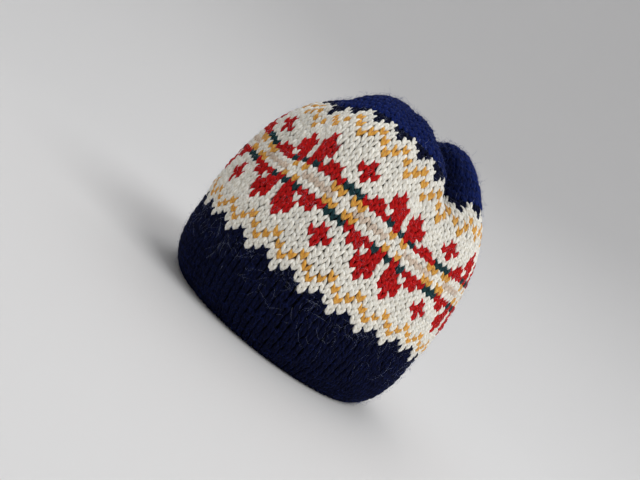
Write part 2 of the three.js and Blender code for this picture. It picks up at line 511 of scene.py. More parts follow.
class FabricSheet:
    """The fabric as it is knitted, wrapped on the cap's form.

    A place on it is a share of the round, a row, and a height above the outer face.
    """

    # Steps to a station and to a row, then round the sheet, and round a contour as its length is measured.
    STATION_STEPS = 100
    ROW_STEPS = 4
    ROUND_STEPS = 448
    CONTOUR_STEPS = 1344
    # The rows between which the stitches change from even turns to even lengths, and the least length.
    EVEN_LENGTH_FROM = 13.0
    EVEN_LENGTH_TO = 27.0
    SHORTEST_CONTOUR = 1 * MM

    def __init__(self, form: CapForm, gauge: Gauge) -> None:
        """Lays the rounds out.

        Args:
            form: The surface that the fabric lies on.
            gauge: The stitches and rounds.
        """
        self.form = form
        self.gauge = gauge
        steps = round((gauge.top_row - gauge.rim_row) * self.ROW_STEPS)
        self.rows = np.linspace(gauge.rim_row, gauge.top_row, steps + 1)
        stations = self._stations(self.rows)
        turns, self.contours = self._turns(stations)
        stations = np.repeat(stations[:, None], turns.shape[1], axis=1)
        self.points = form.point(turns, stations)
        self.out = self._outward()
        self.shelters = form.shelter(turns, stations)

    def _stations(self, rows: np.ndarray) -> np.ndarray:
        """Spreads the rows of each part evenly along its outline.

        Args:
            rows: Rows from the rim to the middle of the crown.

        Returns:
            Their stations.
        """
        form, gauge = self.form, self.gauge
        fine = np.linspace(0, form.middle, self.STATION_STEPS * form.middle + 1)
        steps = np.linalg.norm(np.diff(form.outline(fine), axis=0), axis=1)
        run = np.concatenate(([0], np.cumsum(steps)))
        part_ends = np.interp([0, form.band_end, form.body_end, form.middle], fine, run)
        row_ends = [gauge.rim_row, gauge.body_row, gauge.crown_row, gauge.top_row]
        return np.interp(np.interp(rows, row_ends, part_ends), run, fine)

    def _turns(self, stations: np.ndarray) -> tuple[np.ndarray, np.ndarray]:
        """Finds the turns of even shares of each round.

        On the body, stitches lie at even turns. Towards the crown they lie at even lengths of the folded
        fabric, so that the valleys take up stitches.

        Args:
            stations: The rows' stations.

        Returns:
            The turns, one round a row, and the rounds' lengths.
        """
        shares = np.linspace(0, 1, self.ROUND_STEPS + 1)
        fine = np.linspace(0, 1, self.CONTOUR_STEPS + 1)
        even = self.gauge.first_turn + FULL_TURN * fine
        turns = np.empty((len(stations), len(shares)))
        lengths = np.empty(len(stations))
        for index, (row, station) in enumerate(zip(self.rows, stations)):
            contour = self.form.point(even, np.full_like(even, station))
            run = np.concatenate(([0], np.cumsum(np.linalg.norm(np.diff(contour, axis=0), axis=1))))
            lengths[index] = run[-1]
            by_turn = self.gauge.first_turn + FULL_TURN * shares
            by_length = np.interp(shares, run / max(run[-1], self.SHORTEST_CONTOUR), even)
            ease = smooth_step(np.array(row), self.EVEN_LENGTH_FROM, self.EVEN_LENGTH_TO)
            ease = ease if run[-1] > self.SHORTEST_CONTOUR else 0
            turns[index] = by_turn + (by_length - by_turn) * ease
            turns[index] += FULL_TURN * self.gauge.slant * (row - self.gauge.middle_round)
        return turns, lengths

    def _outward(self) -> np.ndarray:
        """Finds the outward directions of all grid points.

        Returns:
            Directions of length 1: level at the rim, and straight up at the middle of the crown.
        """
        ring = self.points[:, :-1]
        around = (np.roll(ring, -1, axis=1) - np.roll(ring, 1, axis=1)) / 2
        up = np.gradient(ring, axis=0)
        out = unit(np.cross(around, up))
        out[-1] = (0, 0, 1)
        out[-2] = unit(out[-3] + out[-1])
        out[0, :, 2] = 0
        out[0] = unit(out[0])
        return np.concatenate((out, out[:, :1]), axis=1)

    def _read(self, grid: np.ndarray, share: np.ndarray, row: np.ndarray) -> np.ndarray:
        """Reads a grid of the sheet between its points.

        Args:
            grid: Values by row step and round step.
            share: Shares of the round, of any whole number of rounds.
            row: Rows, kept between the rim and the middle of the crown.

        Returns:
            The values there.
        """
        across = np.mod(share, 1) * self.ROUND_STEPS
        column = np.minimum(across.astype(int), self.ROUND_STEPS - 1)
        up = np.interp(row, self.rows, np.arange(len(self.rows)))
        line = np.minimum(up.astype(int), len(self.rows) - 2)
        right, above = across - column, up - line
        if grid.ndim > 2:
            right, above = right[..., None], above[..., None]
        low = grid[line, column] * (1 - right) + grid[line, column + 1] * right
        high = grid[line + 1, column] * (1 - right) + grid[line + 1, column + 1] * right
        return low * (1 - above) + high * above

    def _pulled(self, share: np.ndarray, row: np.ndarray) -> tuple[np.ndarray, np.ndarray]:
        """Moves places of the evenly laid fabric by its pulls.

        Args:
            share: Shares of the round.
            row: Rows.

        Returns:
            The shares and rows where they end up.
        """
        moved_share, moved_row = share, row
        for pull in PULLS:
            away = np.mod(share - pull.column / self.gauge.stitches + 0.5, 1) - 0.5
            across = away * self.gauge.stitches / pull.wide
            near = np.exp(-(across**2) - ((row - pull.row) / pull.tall) ** 2)
            moved_share = moved_share + near * pull.across / self.gauge.stitches
            moved_row = moved_row + near * pull.up
        return moved_share, moved_row

    def place(self, share: np.ndarray, row: np.ndarray, height: np.ndarray) -> tuple[np.ndarray, np.ndarray]:
        """Finds places on or near the fabric.

        Args:
            share: Shares of the round.
            row: Rows.
            height: Height above the outer face, negative inwards.

        Returns:
            The points and the outward directions there.
        """
        share, row, height = np.broadcast_arrays(share, row, height)
        share, row = self._pulled(share, row)
        out = unit(self._read(self.out, share, row))
        return self._read(self.points, share, row) + out * height[..., None], out

    def shelter(self, share: np.ndarray, row: np.ndarray) -> np.ndarray:
        """How sheltered from the light places on the fabric lie, as shares; they darken the wool as painted
        shade.
        """
        return self._read(self.shelters, *self._pulled(share, row))

    def stitches_in(self, row: float) -> int:
        """Counts the stitches of a round: all on the band and body, then as many as each wedge has room for.

        Args:
            row: The round's row.

        Returns:
            How many stitches it has.
        """
        gauge = self.gauge
        if row < gauge.crown_row:
            return gauge.stitches
        length = float(np.interp(row, self.rows, self.contours))
        fitting = max(round(length / gauge.stitch_width / gauge.wedges), 1)
        return gauge.wedges * min(fitting, gauge.stitches // gauge.wedges)


class Bend(NamedTuple):
    """A point of a strand's path: across in stitches, up in rounds, lift and thickness in yarn radii."""

    across: float
    up: float
    lift: float
    thick: float


PLAIN_LEG = (
    Bend(across=0.05, up=-0.8, lift=-0.85, thick=0),
    Bend(across=0.075, up=-0.58, lift=-0.1, thick=0.78),
    Bend(across=0.155, up=-0.24, lift=0.34, thick=0.98),
    Bend(across=0.26, up=0.1, lift=0.42, thick=1.04),
    Bend(across=0.365, up=0.44, lift=0.14, thick=0.97),
    Bend(across=0.425, up=0.7, lift=-0.42, thick=0.72),
    Bend(across=0.43, up=0.92, lift=-1, thick=0),
)
RIB_LEG = (
    Bend(across=0.04, up=-0.8, lift=-0.6, thick=0),
    Bend(across=0.08, up=-0.56, lift=0.02, thick=0.78),
    Bend(across=0.14, up=-0.22, lift=0.4, thick=0.96),
    Bend(across=0.205, up=0.1, lift=0.46, thick=1),
    Bend(across=0.255, up=0.44, lift=0.2, thick=0.95),
    Bend(across=0.275, up=0.7, lift=-0.32, thick=0.72),
    Bend(across=0.26, up=0.9, lift=-0.9, thick=0),
)
PURL_BUMP = (
    Bend(across=-0.52, up=-0.2, lift=0.2, thick=0),
    Bend(across=-0.28, up=0.1, lift=-0.5, thick=0.85),
    Bend(across=0, up=0.22, lift=-0.75, thick=1),
    Bend(across=0.28, up=0.1, lift=-0.5, thick=0.85),
    Bend(across=0.52, up=-0.2, lift=0.2, thick=0),
)
EDGE_LOOP = (
    Bend(across=-0.62, up=0.02, lift=-0.2, thick=0),
    Bend(across=-0.4, up=0.02, lift=0.1, thick=0.72),
    Bend(across=-0.15, up=0.06, lift=0.35, thick=0.9),
    Bend(across=0.1, up=0.14, lift=0.35, thick=0.92),
    Bend(across=0.32, up=0.26, lift=0.1, thick=0.86),
    Bend(across=0.5, up=0.42, lift=-0.2, thick=0.7),
    Bend(across=0.64, up=0.56, lift=-0.7, thick=0),
)


class StrandShape:
    """A short closed strand of yarn, modelled once and then laid along many paths."""

    # A corner nearer to the strand's axis than this is one of its two ends.
    END_RADIUS = 1e-6

    def __init__(self, sides: int, bends: int) -> None:
        """Models the strand.

        Args:
            sides: Sides of its section.
            bends: Stretches along it, one less than the points of its path.
        """
        shape = bmesh.new()
        bmesh.ops.create_uvsphere(shape, u_segments=sides, v_segments=bends, radius=1)
        shape.verts.ensure_lookup_table()
        spots = np.array([vert.co for vert in shape.verts])
        climb = math.pi - np.arccos(np.clip(spots[:, 2], -1, 1))
        flat = np.linalg.norm(spots[:, :2], axis=1)
        self.bends = bends
        self.stop = np.round(climb / math.pi * bends).astype(int)
        self.at_end = flat < self.END_RADIUS
        self.side, self.top = np.where(self.at_end, 0, spots[:, :2].T / np.maximum(flat, self.END_RADIUS))
        # The operator lists the faces in another order in each run, so they are sorted by their corners.
        faces = sorted(shape.faces, key=lambda face: sorted(vert.index for vert in face.verts))
        self.face_sizes = np.array([len(face.verts) for face in faces])
        self.face_verts = np.array([loop.vert.index for face in faces for loop in face.loops])
        self.unwrap = np.array([spot for face in faces for spot in self._unwrap(face)])
        shape.free()

    def _unwrap(self, face: bmesh.types.BMFace) -> list[tuple[float, float]]:
        """Unwraps one face, without a jump at the seam.

        Args:
            face: The face.

        Returns:
            The shares along and around the strand at its corners.
        """
        corners = [loop.vert for loop in face.loops]
        ends = [self.at_end[corner.index] for corner in corners]
        turns = [math.atan2(corner.co.y, corner.co.x) / FULL_TURN % 1 for corner in corners]
        seen = [turn for turn, end in zip(turns, ends) if not end]
        if max(seen) - min(seen) > 0.5:
            turns = [turn + 1 if turn < 0.5 else turn for turn in turns]
            seen = [turn for turn, end in zip(turns, ends) if not end]
        middle = sum(seen) / len(seen)
        return [
            (float(self.stop[corner.index]) / self.bends, middle if end else turn)
            for corner, turn, end in zip(corners, turns, ends)
        ]

    def sweep(self, path: np.ndarray, out: np.ndarray, radius: np.ndarray) -> np.ndarray:
        """Lays a copy of the strand along each path.

        Args:
            path: Points of the paths, one path a row.
            out: Outward directions at those points.
            radius: Radii at those points.

        Returns:
            The corners of all copies, one copy a row.
        """
        ahead = unit(np.gradient(path, axis=1))
        side = unit(np.cross(out, ahead))
        top = np.cross(ahead, side)
        stop = self.stop
        spread = self.side[:, None] * side[:, stop] + self.top[:, None] * top[:, stop]
        return path[:, stop] + radius[:, stop, None] * spread


@dataclass
class StrandLot:
    """Many copies of one strand shape, with a tone and a shelter for each copy."""

    shape: StrandShape
    corners: np.ndarray
    tone: np.ndarray
    shelter: np.ndarray


def smooth_object(mesh: bpy.types.Mesh) -> bpy.types.Object:
    """Shades a mesh smooth and puts it in the scene.

    Args:
        mesh: The mesh, in place.

    Returns:
        Its object, of the same name.
    """
    mesh.polygons.foreach_set("use_smooth", np.ones(len(mesh.polygons), bool))
    piece = bpy.data.objects.new(mesh.name, mesh)
    bpy.context.scene.collection.objects.link(piece)
    return piece


def sewn_object(name: str, shape: bmesh.types.BMesh) -> bpy.types.Object:
    """Closes a shape's seams, turns its faces one way and makes it an object.

    Args:
        name: The object's name.
        shape: The shape, which is freed.

    Returns:
        The object.
    """
    bmesh.ops.remove_doubles(shape, verts=shape.verts, dist=SEAM)
    bmesh.ops.recalc_face_normals(shape, faces=shape.faces)
    mesh = bpy.data.meshes.new(name)
    shape.to_mesh(mesh)
    shape.free()
    return smooth_object(mesh)


def strands_object(name: str, lots: list[StrandLot]) -> bpy.types.Object:
    """Joins lots of strands into one object.

    Args:
        name: The object's name.
        lots: The lots to join.

    Returns:
        The object, with a UV map along and around each strand and two attributes.
    """
    corners, face_verts, face_sizes, unwrap, tones, shelters = [], [], [], [], [], []
    start = 0
    for lot in lots:
        copies, size = lot.corners.shape[:2]
        offsets = start + size * np.arange(copies)[:, None]
        corners.append(lot.corners.reshape(-1, 3))
        face_verts.append((lot.shape.face_verts[None] + offsets).ravel())
        face_sizes.append(np.tile(lot.shape.face_sizes, copies))
        unwrap.append(np.tile(lot.shape.unwrap, (copies, 1)))
        tones.append(np.repeat(lot.tone, size))
        shelters.append(np.repeat(lot.shelter, size))
        start += copies * size
    sizes = np.concatenate(face_sizes)
    mesh = bpy.data.meshes.new(name)
    mesh.vertices.add(start)
    mesh.vertices.foreach_set("co", np.concatenate(corners).astype(np.float32).ravel())
    mesh.loops.add(int(sizes.sum()))
    mesh.loops.foreach_set("vertex_index", np.concatenate(face_verts).astype(np.int32))
    mesh.polygons.add(len(sizes))
    mesh.polygons.foreach_set("loop_start", np.concatenate(([0], np.cumsum(sizes)[:-1])).astype(np.int32))
    mesh.update(calc_edges=True)
    layer = mesh.uv_layers.new(name="yarn")
    layer.uv.foreach_set("vector", np.concatenate(unwrap).astype(np.float32).ravel())
    for title, values in (("tone", tones), ("shelter", shelters)):
        attribute = mesh.attributes.new(title, "FLOAT", "POINT")
        attribute.data.foreach_set("value", np.concatenate(values).astype(np.float32))
    mesh.validate()
    return smooth_object(mesh)


class NodeBoard:
    """Adds and joins the nodes of one node tree."""

    def __init__(self, tree: bpy.types.NodeTree) -> None:
        """Takes the node tree to fill."""
        self.tree = tree

    def add(self, kind: str, feeds: Feeds | None = None, **options: object) -> bpy.types.Node:
        """Adds a node, sets its options and feeds its inputs.

        Args:
            kind: The node's type.
            feeds: What its inputs take.
            **options: Its options by name.

        Returns:
            The node.
        """
        node = self.tree.nodes.new(kind)
        for name, value in options.items():
            setattr(node, name, value)
        self.feed(node, feeds or {})
        return node

    def feed(self, node: bpy.types.Node, feeds: Feeds) -> None:
        """Joins sockets to a node's inputs, or sets these to values.

        Args:
            node: The node.
            feeds: What its inputs take.
        """
        for name, value in feeds.items():
            if isinstance(value, bpy.types.NodeSocket):
                self.tree.links.new(value, node.inputs[name])
            else:
                node.inputs[name].default_value = value

    def math(self, operation: str, *values: object) -> bpy.types.NodeSocket:
        """Adds a Math node and gives its result."""
        return self.add("ShaderNodeMath", dict(enumerate(values)), operation=operation).outputs[0]

    def noise(self, place: bpy.types.NodeSocket, scale: float, detail: float) -> bpy.types.NodeSocket:
        """Adds a Noise node on a place and gives its value."""
        return self.add("ShaderNodeTexNoise", {"Vector": place, "Scale": scale, "Detail": detail}).outputs[0]

    def mix_colour(self, share: object, low: object, high: object) -> bpy.types.NodeSocket:
        """Adds a Mix node for two colours and gives its result."""
        return self.add("ShaderNodeMix", {0: share, 6: low, 7: high}, data_type="RGBA").outputs[2]

    def lightened(self, colour: object, level: object) -> bpy.types.NodeSocket:
        """Multiplies a colour's brightness by a level and gives the result."""
        return self.add("ShaderNodeHueSaturation", {"Color": colour, "Value": level}).outputs[0]

    def bump(self, height: object, distance: float, strength: float) -> bpy.types.NodeSocket:
        """Adds a Bump node for a height and gives its normal."""
        feeds = {"Height": height, "Distance": distance, "Strength": strength}
        return self.add("ShaderNodeBump", feeds).outputs[0]


def new_material(name: str) -> tuple[bpy.types.Material, NodeBoard, bpy.types.Node]:
    """Starts a material.

    Args:
        name: Its name.

    Returns:
        The material, the board of its nodes and its shader.
    """
    material = bpy.data.materials.new(name)
    material.use_nodes = True
    return material, NodeBoard(material.node_tree), material.node_tree.nodes["Principled BSDF"]


@dataclass(frozen=True)
class WoolFibres:
    """The look of spun wool: twisted plies, fine fibres and uneven dye.

    The depths of plies, fibres and felt are shares of the yarn's relief. Below the depth of groove_end the
    groove colour shows, which is painted shade between the plies; above wool_start the wool's.
    """

    fibres_along: float = 5.0
    fibres_around: float = 2.2
    fibre_scale: float = 2.0
    fibre_detail: float = 3.0
    strand_shift: float = 37.0
    felt_scale: float = 1500.0
    felt_detail: float = 2.0
    dye_scale: float = 30.0
    dye_detail: float = 2.0
    ply_depth: float = 0.55
    fibre_depth: float = 0.45
    felt_depth: float = 0.35
    groove_end: float = 0.15
    wool_start: float = 0.6
    speck: float = 0.25
    least_roughness: float = 0.8
    fibre_roughness: float = 0.15

    def group(self) -> bpy.types.ShaderNodeTree:
        """Builds the shader node group, which every yarn's material uses with its own values.

        Returns:
            The node group.
        """
        group = bpy.data.node_groups.new("wool_fibres", "ShaderNodeTree")
        inputs = {
            "NodeSocketColor": ("Wool", "Groove"),
            "NodeSocketVector": ("Place",),
            "NodeSocketFloat": (
                "Along", "Around", "Tone", "Plies", "Twist", "Unevenness", "Shelter", "Shade",
            ),
        }
        outputs = {"NodeSocketColor": ("Color",), "NodeSocketFloat": ("Roughness", "Height")}
        for side, sockets in (("INPUT", inputs), ("OUTPUT", outputs)):
            for kind, names in sockets.items():
                for name in names:
                    group.interface.new_socket(name=name, in_out=side, socket_type=kind)
        tree = NodeBoard(group)
        given = tree.add("NodeGroupInput").outputs
        angle = self._ply_angle(tree, given)
        wave = tree.math("SINE", angle)
        shift = tree.math("MULTIPLY", given["Tone"], self.strand_shift)
        lane = {
            "X": tree.math("MULTIPLY_ADD", given["Along"], self.fibres_along, shift),
            "Y": tree.math("MULTIPLY", tree.math("COSINE", angle), self.fibres_around),
            "Z": tree.math("MULTIPLY", wave, self.fibres_around),
        }
        along_lane = tree.add("ShaderNodeCombineXYZ", lane).outputs[0]
        fibres = tree.noise(along_lane, self.fibre_scale, self.fibre_detail)
        felt = tree.noise(given["Place"], self.felt_scale, self.felt_detail)
        ply = tree.math("MULTIPLY_ADD", wave, 0.5, 0.5)
        fine = tree.math("MULTIPLY", fibres, self.fibre_depth)
        depth = tree.math("MULTIPLY_ADD", ply, self.ply_depth, fine)
        limits = {"Value": depth, "From Min": self.groove_end, "From Max": self.wool_start}
        share = tree.add("ShaderNodeMapRange", limits, clamp=True).outputs[0]
        colour = tree.mix_colour(share, given["Groove"], given["Wool"])
        feeds = {
            "Color": tree.lightened(colour, self._level(tree, given, felt)),
            "Roughness": tree.math("MULTIPLY_ADD", fibres, self.fibre_roughness, self.least_roughness),
            "Height": tree.math("MULTIPLY_ADD", felt, self.felt_depth, depth),
        }
        tree.add("NodeGroupOutput", feeds)
        return group

    def _ply_angle(self, tree: NodeBoard, given: bpy.types.bpy_prop_collection) -> bpy.types.NodeSocket:
        """Finds how far round its ply a place on the strand lies.

        Args:
            tree: The group's nodes.
            given: The group's inputs.

        Returns:
            The angle in radians.
        """
        around = tree.math("MULTIPLY", given["Around"], given["Plies"])
        turns = tree.math("ADD", around, tree.math("MULTIPLY", given["Along"], given["Twist"]))
        return tree.math("MULTIPLY", turns, FULL_TURN)

    def _level(
        self, tree: NodeBoard, given: bpy.types.bpy_prop_collection, felt: bpy.types.NodeSocket
    ) -> bpy.types.NodeSocket:
        """Finds the level that a place's colour is multiplied by.

        Args:
            tree: The group's nodes.
            given: The group's inputs.
            felt: The noise of the felted surface.

        Returns:
            The level: the uneven dye of strands and patches, specks, and the painted shade of the valleys.
        """
        dye = tree.noise(given["Place"], self.dye_scale, self.dye_detail)
        uneven = tree.math("MULTIPLY", tree.math("SUBTRACT", given["Tone"], 0.5), given["Unevenness"])
        patch = tree.math("MULTIPLY", tree.math("SUBTRACT", dye, 0.5), given["Unevenness"])
        speck = tree.math("MULTIPLY", tree.math("SUBTRACT", felt, 0.5), self.speck)
        even = tree.math("ADD", tree.math("ADD", uneven, patch), tree.math("ADD", speck, 1.0))
        # Painted shade: the valleys' shelter darkens the colour, by the finish's shade.
        dim = tree.math("SUBTRACT", 1.0, tree.math("MULTIPLY", given["Shelter"], given["Shade"]))
        return tree.math("MULTIPLY", even, dim)


@dataclass(frozen=True)
class WoolFinish:
    """One dyed wool yarn."""

    name: str
    wool: Colour
    # Painted shade: the groove colour is the wool's colour darkened, as shade between the plies.
    groove: Colour
    unevenness: float = 0.18
    plies: float = 2.0
    twist: float = 2.6
    relief: float = 0.28 * MM
    relief_strength: float = 0.7
    sheen: float = 0.25
    sheen_roughness: float = 0.45
    sheen_tint: Colour = (1.0, 1.0, 1.0, 1.0)
    specular: float = 0.2
    # How far the valleys' shelter darkens the wool, as painted shade.
    shade: float = 0.3

    def material(self, fibres: bpy.types.ShaderNodeTree) -> bpy.types.Material:
        """Builds the yarn's material.

        Args:
            fibres: The node group that draws plies and fibres.

        Returns:
            The material.
        """
        wool, board, shader = new_material(self.name)
        wool.diffuse_color = self.wool
        place = board.add("ShaderNodeTexCoord").outputs
        strand = board.add("ShaderNodeSeparateXYZ", {0: place["UV"]}).outputs
        feeds = {
            "Wool": self.wool,
            "Groove": self.groove,
            "Place": place["Object"],
            "Along": strand["X"],
            "Around": strand["Y"],
            "Tone": board.add("ShaderNodeAttribute", attribute_name="tone").outputs["Fac"],
            "Shelter": board.add("ShaderNodeAttribute", attribute_name="shelter").outputs["Fac"],
            "Plies": self.plies,
            "Twist": self.twist,
            "Unevenness": self.unevenness,
            "Shade": self.shade,
        }
        spun = board.add("ShaderNodeGroup", feeds, node_tree=fibres).outputs
        feeds = {
            "Base Color": spun["Color"],
            "Roughness": spun["Roughness"],
            "Normal": board.bump(spun["Height"], self.relief, self.relief_strength),
            "Sheen Weight": self.sheen,
            "Sheen Roughness": self.sheen_roughness,
            "Sheen Tint": self.sheen_tint,
            "Specular IOR Level": self.specular,
        }
        board.feed(shader, feeds)
        return wool


# Each yarn's groove colour is painted shade: its wool colour darkened for the grooves between the plies.
FINISHES = {
    # The band's navy is darker than the crown's copy of the same yarn: painted shade, as the band faces away
    # from the light.
    Yarn.NAVY: WoolFinish(
        name="navy_wool",
        wool=linear(9, 14, 43),
        groove=linear(3, 4, 16),
        sheen=0.03,
        sheen_tint=linear(110, 130, 220),
        specular=0.08,
    ),
    Yarn.WHITE: WoolFinish(name="white_wool", wool=linear(239, 236, 226), groove=linear(212, 204, 188)),
    Yarn.GOLD: WoolFinish(name="gold_wool", wool=linear(224, 168, 74), groove=linear(196, 128, 44)),
    Yarn.RED: WoolFinish(
        name="red_wool",
        wool=linear(192, 15, 17),
        groove=linear(136, 6, 8),
        sheen=0.12,
        sheen_tint=linear(255, 140, 110),
    ),
    Yarn.GREEN: WoolFinish(
        name="green_wool",
        wool=linear(24, 60, 64),
        groove=linear(10, 32, 38),
        sheen=0.1,
        sheen_tint=linear(150, 205, 210),
    ),
    Yarn.BEIGE: WoolFinish(name="beige_wool", wool=linear(216, 199, 180), groove=linear(184, 160, 140)),
}
# Painted light: the crown is knitted in the band's navy yarn, but this copy is lighter, as if lit from above,
# and its valleys take the full painted shade.
LIT_CROWN_FINISH = WoolFinish(
    name="lit_crown_wool",
    wool=linear(18, 34, 96),
    groove=linear(6, 11, 42),
    sheen=0.12,
    sheen_tint=linear(90, 120, 230),
    specular=0.08,
    shade=1,
)
FIBRE_FINISHES = {
    Yarn.NAVY: WoolFinish(
        name="navy_fibre",
        wool=linear(36, 54, 128),
        groove=linear(30, 46, 112),
        sheen=0.2,
        sheen_tint=linear(110, 130, 220),
        relief_strength=0,
    ),
    Yarn.WHITE: WoolFinish(
        name="white_fibre", wool=linear(180, 190, 216), groove=linear(156, 166, 196), relief_strength=0
    ),
}


@dataclass(frozen=True)
class BackingFinish:
    """The depth of the fabric between its stitches, in the colours of its yarn attribute, which hold painted
    shade.
    """

    name: str = "between_stitches"
    roughness: float = 0.95
    specular: float = 0.1
    felt_scale: float = 900.0
    felt_detail: float = 3.0
    felt_contrast: float = 0.5
    least_level: float = 0.75
    relief: float = 0.4 * MM
    relief_strength: float = 0.5

    def material(self) -> bpy.types.Material:
        """Builds the material.

        Returns:
            The material.
        """
        depth, board, shader = new_material(self.name)
        yarn = board.add("ShaderNodeAttribute", attribute_name="yarn").outputs["Color"]
        place = board.add("ShaderNodeTexCoord").outputs["Object"]
        felt = board.noise(place, self.felt_scale, self.felt_detail)
        level = board.math("MULTIPLY_ADD", felt, self.felt_contrast, self.least_level)
        feeds = {
            "Base Color": board.lightened(yarn, level),
            "Normal": board.bump(felt, self.relief, self.relief_strength),
            "Roughness": self.roughness,
            "Specular IOR Level": self.specular,
        }
        board.feed(shader, feeds)
        return depth


@dataclass(frozen=True)
class FloorFinish:
    """The pale matt paint of the studio's floor."""

    name: str = "pale_floor"
    colour: Colour = linear(216, 214, 212)
    roughness: float = 0.9

    def material(self) -> bpy.types.Material:
        """Builds the material.

        Returns:
            The material.
        """
        paint, board, shader = new_material(self.name)
        board.feed(shader, {"Base Color": self.colour, "Roughness": self.roughness})
        return paint


def join_part(
    piece: bpy.types.Object, part: Part, material: bpy.types.Material
) -> bpy.types.Object:
    """Dresses a finished piece and ties it to the frame.

    Args:
        piece: The piece, in place.
        part: The stretch of the fabric that it stands for.
        material: Its material.

    Returns:
        The piece.
    """
    piece.data.materials.append(material)
    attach(piece, BODY)
    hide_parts(part.value)
    return piece


class Stitch(NamedTuple):
    """One stitch: its round, its place and width in shares of the round, and its yarn."""

    row: float
    share: float
    width: float
    yarn: Yarn


class StitchKind(Enum):
    """How the two legs of a stitch lie."""

    PLAIN = "plain"
    RIB = "rib"
    LOOSE = "loose"


@dataclass
class Knitter:
    """Lays stitches and their backs on the fabric sheet.

    The wobbles are in stitches, in rounds, in radii of the yarn and in shares of its radius.
    """

    sheet: FabricSheet
    seed: int = 7
    wobble_across: float = 0.045
    wobble_up: float = 0.055
    wobble_lift: float = 0.13
    wobble_thick: float = 0.09
    narrowest: float = 0.55
    loose_yarn: float = 1.16
    purl_depth: float = 2.55 * MM
    purl_radius: float = 0.95 * MM
    edge_depth: float = 1.2 * MM
    edge_radius: float = 1.0 * MM
    leg: StrandShape = field(default_factory=lambda: StrandShape(sides=6, bends=6))
    back: StrandShape = field(default_factory=lambda: StrandShape(sides=4, bends=4))

    def __post_init__(self) -> None:
        """Starts the wobble of the hand."""
        self.random = np.random.default_rng(self.seed)

    def rounds(self, first: int, last: int) -> list[Stitch]:
        """Lists the stitches of some rounds.

        Args:
            first: The lowest round.
            last: The highest round.

        Returns:
            The stitches.
        """
        gauge = self.sheet.gauge
        found = []
        for row in range(first, last + 1):
            count = self.sheet.stitches_in(row)
            for column in range(count):
                found.append(Stitch(row, column / count, 1 / count, gauge.chart(column, row)))
        return found

    def _lay(
        self,
        shape: StrandShape,
        bends: tuple[Bend, ...],
        stitches: list[Stitch],
        depth: float,
        radius: float,
        mirrored: bool = False,
    ) -> StrandLot:
        """Lays one strand for each stitch along a path given in stitch sizes.

        Args:
            shape: The strand.
            bends: Its path.
            stitches: The stitches.
            depth: How far the path lies below the outer face.
            radius: The yarn's radius.
            mirrored: Whether the path is turned over from right to left.

        Returns:
            The strands.
        """
        count, gauge = len(stitches), self.sheet.gauge
        rows, shares, widths = np.array([stitch[:3] for stitch in stitches], float).T[..., None]
        across, up, lift, thick = np.array(bends).T
        across = -across if mirrored else across

        def wobble(size: float) -> np.ndarray:
            """A small random change for each stitch."""
            return self.random.normal(0, size, (count, 1))

        lengths = np.interp(rows, self.sheet.rows, self.sheet.contours)
        narrow = np.clip(lengths * widths / gauge.stitch_width, self.narrowest, 1)
        stretch = 1 + wobble(self.wobble_up)
        share = shares + widths * across * (1 + wobble(self.wobble_across))
        share = share + wobble(self.wobble_across) * (1 / gauge.stitches)
        row = rows + up * stretch + wobble(self.wobble_up)
        thickness = radius * narrow * (1 + wobble(self.wobble_thick)) * thick
        height = -depth + radius * (lift + wobble(self.wobble_lift))
        path, out = self.sheet.place(share, row, height)
        path[..., 2] = np.maximum(path[..., 2], thickness)
        shelter = self.sheet.shelter(shares, rows)[:, 0]
        return StrandLot(shape, shape.sweep(path, out, thickness), self.random.random(count), shelter)

    def faces(self, stitches: list[Stitch], kind: StitchKind) -> list[StrandLot]:
        """Lays the two legs of each stitch, as the outer face shows them.

        Args:
            stitches: The stitches.
            kind: How their legs lie.

        Returns:
            The right legs and the left legs.
        """
        bends = RIB_LEG if kind is StitchKind.RIB else PLAIN_LEG
        gauge = self.sheet.gauge
        radius = gauge.yarn_radius * (self.loose_yarn if kind is StitchKind.LOOSE else 1)
        return [
            self._lay(self.leg, bends, stitches, gauge.sink, radius, mirrored)
            for mirrored in (False, True)
        ]

    def backs(self, stitches: list[Stitch]) -> list[StrandLot]:
        """Lays the bump of each stitch on the inner face."""
        return [self._lay(self.back, PURL_BUMP, stitches, self.purl_depth, self.purl_radius)]

    def edge(self, stitches: list[Stitch]) -> list[StrandLot]:
        """Lays the slanted loops of the first round, along the rim."""
        return [self._lay(self.leg, EDGE_LOOP, stitches, self.edge_depth, self.edge_radius)]


@dataclass
class RibbedBand:
    """The navy band at the mouth, with its rim loops, which lie above the rim by a share of a round."""

    knitter: Knitter
    loop_rise: float = 0.08

    def build(self, materials: dict[Yarn, bpy.types.Material]) -> list[bpy.types.Object]:
        """Builds and dresses the band.

        Args:
            materials: The yarns' materials.

        Returns:
            Its piece.
        """
        gauge = self.knitter.sheet.gauge
        lowest = 1 - gauge.band_rounds
        stitches = self.knitter.rounds(lowest, 0)
        loops = [
            stitch._replace(row=gauge.rim_row + self.loop_rise)
            for stitch in stitches
            if stitch.row == lowest
        ]
        lots = self.knitter.faces(stitches, StitchKind.RIB) + self.knitter.backs(stitches)
        lots += self.knitter.edge(loops)
        return [join_part(strands_object("rib_stitches", lots), Part.BAND, materials[Yarn.NAVY])]


